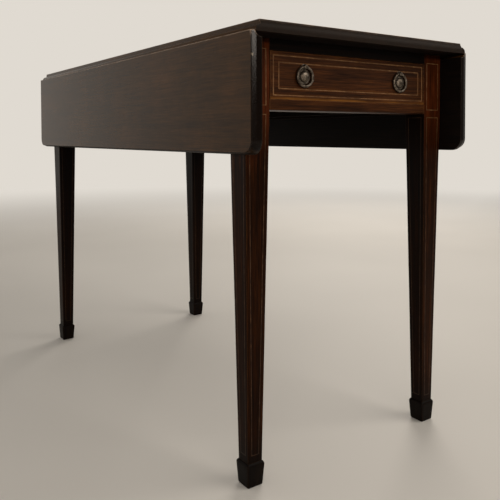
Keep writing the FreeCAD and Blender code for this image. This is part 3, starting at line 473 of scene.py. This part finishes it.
def add_legs(leg_materials, foot_material):
    """Tapered legs with softened arrises, and spade feet with a swelling shoulder, worn at the toe.

    A leg's width grows evenly from the ankle to the frieze and is even above. The radius of its arris is
    a mean plus two sine waves of the height. A foot widens evenly from the toe to its shoulder, where it
    draws in to the ankle by a power of the rise; wear at the toe falls off as a square of the height.
    """
    leg_z = np.concatenate([np.linspace(FOOT_HEIGHT, FRIEZE_BOTTOM, 25),
                            np.linspace(FRIEZE_BOTTOM + 4, UNDERSIDE, 7)])
    share = np.clip((leg_z - FOOT_HEIGHT) / (FRIEZE_BOTTOM - FOOT_HEIGHT), 0, 1)
    leg_half = (ANKLE_WIDTH + (LEG_WIDTH - ANKLE_WIDTH) * share) / 2 - INLAY_PROUD
    shoulder_z = FOOT_HEIGHT - FOOT_SHOULDER
    foot_z = np.concatenate([TOE_ROWS, np.linspace(BLADE_FROM, shoulder_z, 6),
                             np.linspace(shoulder_z, FOOT_HEIGHT, 9)[1:]])
    rise = np.clip((foot_z - shoulder_z) / FOOT_SHOULDER, 0, 1)
    blade = TOE_WIDTH + (FOOT_WIDTH - TOE_WIDTH) * np.clip(foot_z / shoulder_z, 0, 1)
    foot_half = (blade - (FOOT_WIDTH - ANKLE_WIDTH) * rise ** SHOULDER_POWER) / 2
    toe = TOE_WEAR * np.clip(1 - foot_z / TOE_WEAR_TOP, 0, 1) ** 2
    for i, (end, side) in enumerate([(e, s) for e in ("front", "back") for s in ("left", "right")]):
        place = (LEG_X if side == "right" else -LEG_X, LEG_Y if end == "back" else -LEG_Y)
        name = end + "_" + side
        wear = (ARRIS + LONG_WEAR * np.sin(leg_z / LONG_WAVE + 2 * i)
                + SHORT_WEAR * np.sin(leg_z / SHORT_WAVE + i))
        points, faces = stacked_squares(leg_z, leg_half, wear, place)
        make_piece(name + "_leg_wood", points, faces, "frame", leg_materials[end],
                   [name + "_leg"])
        points, faces = stacked_squares(foot_z, foot_half - toe, FOOT_CORNER + toe, place)
        make_piece(name + "_spade", points, faces, "frame", foot_material,
                   [name + "_foot"])


def turned(profile, facets):
    """Surface of revolution about the Y axis; profile rows are (radius, y), from the back rim on."""
    r, y = np.asarray(profile, float).T
    t = np.linspace(0, 2 * math.pi, facets, endpoint=False)
    ys = np.repeat(y[:, None], facets, 1)
    points = np.stack([r[:, None] * np.cos(t), ys, r[:, None] * np.sin(t)], -1).reshape(-1, 3)
    return points, grid_faces(len(r), facets).tolist() + end_faces(len(r), facets)


def join(parts):
    """One list of points and faces from several."""
    points, faces, start = [], [], 0
    for p, f in parts:
        points.append(p)
        faces += [[i + start for i in face] for face in f]
        start += len(p)
    return np.concatenate(points), faces


def plate_parts():
    """Round plate facing -Y: dome with a turned step, a rim of small beads, the lobe behind the post.

    The dome is a quarter of an ellipse turned about the plate's middle. A bead is a quarter circle
    turned about its own, and the beads stand evenly on a circle, except where the lobe lies.
    """
    face = -PLATE_THICKNESS
    step = face - STEP_HEIGHT
    bevel = face + PLATE_EDGE
    a = np.radians(np.linspace(0, 86, 12))
    dome = np.stack([DOME_RADIUS * np.cos(a), step - (DOME_HEIGHT - STEP_HEIGHT) * np.sin(a)], -1)
    rim = [(PLATE_RADIUS, 0), (PLATE_RADIUS, bevel), (PLATE_RADIUS - PLATE_EDGE, face),
           (BEAD_CIRCLE - STEP_FOOT, face), (BEAD_CIRCLE - STEP_OUTER, step),
           (BEAD_CIRCLE - STEP_INNER, step), (DOME_RADIUS + PLATE_EDGE, face)]
    parts = [turned(np.concatenate([rim, dome]), 64)]
    lobe, faces = turned([(LOBE_RADIUS, 0), (LOBE_RADIUS, bevel), (LOBE_RADIUS - PLATE_EDGE, face),
                          (LOBE_TIP, face - LOBE_SWELL)], 28)
    parts.append((lobe + [0, 0, POST_RISE], faces))
    up = np.radians(np.linspace(0, 80, 5))
    bead, bead_faces = turned(np.stack([BEAD_RADIUS * np.cos(up), -BEAD_RADIUS * np.sin(up)], -1), 9)
    for k in range(BEAD_COUNT):
        turn = 2 * math.pi * k / BEAD_COUNT
        spot = np.array([BEAD_CIRCLE * math.cos(turn), bevel, BEAD_CIRCLE * math.sin(turn)])
        if spot[2] < POST_RISE - LOBE_RADIUS or abs(spot[0]) > LOBE_GAP:
            parts.append((bead + spot, bead_faces))
    return join(parts)


def add_plates(material):
    """Plates of the four pulls: a pair on the drawer, and a pair turned half round on the dummy end."""
    points, faces = plate_parts()
    for end, body, sign in (("drawer", "drawer", 1), ("dummy", "frame", -1)):
        turned_points = points * [sign, sign, 1]
        pair = [(turned_points + [side * PULL_X, -sign * END_Y, PULL_Z], faces) for side in (-1, 1)]
        joined, joined_faces = join(pair)
        make_piece(end + "_beaded_plates", joined, joined_faces, body, material,
                   [end + "_pull_plates"], sharp=50)


def dress(material, *names):
    """Gives CAD nodes their one material."""
    for name in names:
        slots = NODES[name].data.materials
        slots.clear()
        slots.append(material)


def sides(*names):
    """Names of nodes that come as a left one and a right one."""
    return [side + name for side in ("left_", "right_") for name in names]


# Looks: deep, middle, bright and worn tones, roughness, gloss and, for some, the tone of thin stain;
# the worn tone of the leaves and top is partly a painted highlight, the thin tone of the legs partly
# painted light
LEAF_TONES = ("#311f0d", "#452d12", "#563919", "#c8ad95", 0.15, 0.115, "#64401f")
END_TONES = ("#211107", "#432511", "#613818", "#8a5a2e", 0.36, 0.08)
# near-black tones of the drawer's upper rail: painted shade under the overhanging top
SHADE_TONES = ("#060302", "#0d0603", "#170b05", "#2a170c", 0.45, 0.08)
# the thin tone of the legs is a thinner, redder stain and also painted light on the frieze
LEG_TONES = ("#110602", "#271104", "#40200a", "#664420", 0.36, 0.05, "#622d12")
# the back legs take a darker copy of the leg tones: painted shade, as less light reaches them
SHADED_BACK_LEG_TONES = ("#0d0402", "#1e0d04", "#341a09", "#55381c", 0.36, 0.05, "#622d12")
EBONY_TONES = ("#070403", "#100906", "#1e130b", "#4a3623", 0.42, 0.06)
OAK_TONES = ("#54391f", "#7d5a35", "#96713f", 0.60)
# leaves: arrises above the joint rubbed pale and painted with a highlight
LEAF_WEAR = {"rub_mm": 3.8, "rub_and_highlight_from": JOINT_Z, "shaded_edge_z": FREE_EDGE_Z, "end_share": 0.96}
# legs: the inner faces are darkened as old polish and as painted shade
LEG_WEAR = {"stain_and_light_z": FRIEZE_BOTTOM, "low_dark_z": LOW_DARK_TOP, "dark_inside": 0.75}
# the underside of the top and the inner faces of the leaves are left without polish and painted near
# black as shade
top_wood = polished_mahogany("polished_mahogany_top", "Y", *LEAF_TONES, rub_and_highlight_from=TOP_ARRIS_Z,
                             dull_ends=0.6, bare_shaded_side=(0, 0, -1))
left_wood = polished_mahogany("polished_mahogany_left_leaf", "Y", *LEAF_TONES, **LEAF_WEAR,
                              bare_shaded_side=(1, 0, 0), chip=KNOCK)
right_wood = polished_mahogany("polished_mahogany_right_leaf", "Y", *LEAF_TONES, **LEAF_WEAR,
                               bare_shaded_side=(-1, 0, 0))
front_wood = polished_mahogany("polished_mahogany_drawer_front", "X", *END_TONES, amber_z=DRAWER_LOW)
rail_wood = polished_mahogany("polished_mahogany_end_rail", "X", *END_TONES)
shade_wood = polished_mahogany("painted_shade_mahogany", "X", *SHADE_TONES)
leg_wood = polished_mahogany("polished_mahogany_leg", "Z", *LEG_TONES, **LEG_WEAR)
# darker copy of the leg wood for the back legs, as painted shade
shaded_back_leg_wood = polished_mahogany("shaded_polished_mahogany_back_leg", "Z", *SHADED_BACK_LEG_TONES, **LEG_WEAR)
ebony = polished_mahogany("ebonised_mahogany", "Z", *EBONY_TONES)
beech = plain_wood("stained_beech_along_rail", "Y", "#0b0604", "#150c07", "#21140b", 0.62)
oak_y = plain_wood("old_oak_along_drawer", "Y", *OAK_TONES)
oak_x = plain_wood("old_oak_across_drawer", "X", *OAK_TONES)
string_wood = boxwood()
brass = old_metal("antique_brass", "#3d362f", "#685e53", "#a1978a", 0.43, 0.8, 0.65)
iron = old_metal("wrought_iron", "#191615", "#2c2826", "#4a4541", 0.52, 1.2, 0.6)
steel = old_metal("steel_screws", "#2c2a28", "#55524d", "#8a867e", 0.42, 0.8, 0.6)

dress(top_wood, "centre_top")
dress(left_wood, "left_leaf")
dress(right_wood, "right_leaf")
dress(front_wood, "drawer_front")
dress(rail_wood, "back_end_rail", "drawer_lower_rail")
# the upper rail is painted near black as the shade under the top
dress(shade_wood, "drawer_upper_rail")
dress(beech, *sides("side_rail", "fly_rail", "fly_bracket"), "drawer_runners", "drawer_guides",
      "drawer_kickers", "drawer_stops", "top_glue_blocks")
dress(oak_y, "drawer_left_side", "drawer_right_side")
dress(oak_x, "drawer_back", "drawer_bottom")
dress(string_wood, "drawer_stringing", "back_end_stringing",
      *[end + "_" + name for end in ("front", "back") for name in sides("leg_stringing")])
dress(brass, *[end + "_" + part for end in ("drawer", "dummy")
               for part in (*sides("ring"), "pull_posts", "pull_nuts")])
dress(iron, *sides("hinge_top_flaps", "hinge_leaf_flaps", "hinge_pins", "fly_pin"))
dress(steel, *sides("hinge_top_screws", "hinge_leaf_screws"), "top_screws")
add_legs({"front": leg_wood, "back": shaded_back_leg_wood}, ebony)
add_plates(brass)

# Floor, light and camera, in metres
PALE_SIDE = (-0.45, 0.89, 0.0)          # horizontal direction of the pale end of the studio
ROOM_STOPS = ((0.26, "#7c7873"), (0.51, "#e0dad1"))
CEILING_STOPS = ((0.22, 1.0), (0.48, 0.22), (0.70, 0.25), (0.95, 0.75))
FLOOR_RINGS, FLOOR_SIDES = (0.0001, 1.0, 3.0, 7.0, 14.0), 64
FLOOR_PATCH = 1 / 1.1                   # faint patches of the floor
HAZE_FROM, HAZE_FULL = 1.8, 5.5         # the floor turns to the studio's colour between these distances
# Softboxes: name, place, aim, size, watts and colour
SOFTBOXES = (
    ("window_left", (-1.5, -3.22, 1.15), (-0.24, -0.5, 1.15), (3.0, 0.16), 31, "#fff3e6"),
    ("window_right", (1.9, -2.6, 2.4), (0, -0.4, 0.5), (2.8, 1.7), 45, "#fff6ea"),
    ("window_back", (2.9, 2.3, 2.1), (0.1, 0.4, 0.5), (2.0, 1.8), 42, "#fff6ea"),
)


def room_colour(tree, direction):
    """Colour of the studio in a direction: a grey side that turns to the pale side."""
    side = add(tree, "VectorMath", {0: direction, 1: PALE_SIDE}, "Value", operation="DOT_PRODUCT")
    half = add(tree, "MapRange", {0: side, 1: -1.0, 2: 1.0})
    return add(tree, "ValToRGB", {0: half}, stops=ROOM_STOPS)


def add_floor():
    """Round pale floor: rings of points about the table; its far part takes the studio's colour.

    It is darker to light that bounces off it than to the eye, so that it lights the table less.
    """
    r = np.array(FLOOR_RINGS)
    t = np.linspace(0, 2 * math.pi, FLOOR_SIDES, endpoint=False)
    xs, ys = r[:, None] * np.cos(t), r[:, None] * np.sin(t)
    points = np.stack([xs, ys, np.zeros(xs.shape)], -1).reshape(-1, 3)
    mesh = bpy.data.meshes.new("floor")
    mesh.from_pydata(points.tolist(), [], grid_faces(len(r), FLOOR_SIDES)[:, ::-1].tolist())
    material, tree = new_material("pale_floor")
    place = add(tree, "TexCoord", out="Object")
    grain = add(tree, "TexNoise", {"Vector": place, "Scale": 1 / FLOOR_PATCH, "Detail": 2})
    pale = add(tree, "ValToRGB", {0: grain}, stops=((0.3, "#e3e0db"), (0.7, "#eae7e2")))
    seen = add(tree, "LightPath", out="Is Camera Ray")
    for ray in ("Is Glossy Ray", "Is Transmission Ray"):
        seen = add(tree, "Math", {0: seen, 1: add(tree, "LightPath", out=ray)}, operation="MAXIMUM")
    colour = add(tree, "Mix", {0: seen, 6: "#6f6b66", 7: pale}, 2, data_type="RGBA")
    near = add(tree, "BsdfPrincipled", {"Base Color": colour, "Roughness": 0.6})
    direction = add(tree, "VectorMath", {0: place}, operation="NORMALIZE")
    far = add(tree, "Emission", {"Color": room_colour(tree, direction)})
    distance = add(tree, "VectorMath", {0: place}, "Value", operation="LENGTH")
    haze = add(tree, "MapRange", {0: distance, 1: HAZE_FROM, 2: HAZE_FULL},
               interpolation_type="SMOOTHSTEP")
    haze = add(tree, "Math", {0: haze, 1: seen}, operation="MULTIPLY")
    add(tree, "OutputMaterial", {"Surface": add(tree, "MixShader", {0: haze, 1: near, 2: far})})
    mesh.materials.append(material)
    floor = bpy.data.objects.new("floor", mesh)
    bpy.context.scene.collection.objects.link(floor)


def add_softbox(name, place, aim, size, watts, colour):
    """Rectangular lamp at a place, turned to what it lights."""
    lamp = bpy.data.lights.new(name, "AREA")
    lamp.shape = "RECTANGLE"
    lamp.size, lamp.size_y = size
    lamp.energy = watts
    lamp.color = linear(colour)[:3]
    obj = bpy.data.objects.new(name, lamp)
    obj.location = place
    obj.rotation_euler = (Vector(aim) - Vector(place)).to_track_quat("-Z", "Y").to_euler()
    bpy.context.scene.collection.objects.link(obj)


def add_world():
    """Studio light all round, dim under the ceiling and brighter straight overhead."""
    world = bpy.data.worlds.new("studio")
    bpy.context.scene.world = world
    world.use_nodes = True
    tree = world.node_tree
    tree.nodes.clear()
    ray = add(tree, "TexCoord", out="Generated")
    height = add(tree, "SeparateXYZ", {0: ray}, "Z")
    ceiling = add(tree, "ValToRGB", {0: height}, stops=CEILING_STOPS)
    colour = add(tree, "Mix", {0: 1.0, 6: room_colour(tree, ray), 7: ceiling}, 2, data_type="RGBA",
                 blend_type="MULTIPLY")
    add(tree, "OutputWorld", {"Surface": add(tree, "Background", {"Color": colour, "Strength": 1.0})})


def add_camera():
    """Camera at the photographed angle: place and turns in the table's frame, 500 x 500 pixel image."""
    place, turn, dip, roll = Vector((-0.7535, -1.2392, 0.54475)), -34.617, 1.784, -0.169
    focal_px, centre_y_px, image_px = 633.5, 154.94, 500
    a, b, c = (math.radians(x) for x in (turn, dip, roll))
    ahead = Vector((-math.sin(a) * math.cos(b), math.cos(a) * math.cos(b), -math.sin(b)))
    right = Vector((math.cos(a), math.sin(a), 0))
    up = right.cross(ahead)
    right, up = right * math.cos(c) + up * math.sin(c), up * math.cos(c) - right * math.sin(c)
    data = bpy.data.cameras.new("camera")
    data.sensor_width = 36
    data.lens = focal_px / image_px * data.sensor_width
    data.shift_y = (centre_y_px - image_px / 2) / image_px
    data.clip_start, data.clip_end = 0.02, 100
    camera = bpy.data.objects.new("camera", data)
    camera.matrix_world = Matrix.Translation(place) @ Matrix((right, up, -ahead)).transposed().to_4x4()
    bpy.context.scene.collection.objects.link(camera)
    bpy.context.scene.camera = camera


add_floor()
for softbox in SOFTBOXES:
    add_softbox(*softbox)
add_world()
add_camera()
bpy.context.scene.view_settings.view_transform = "Standard"
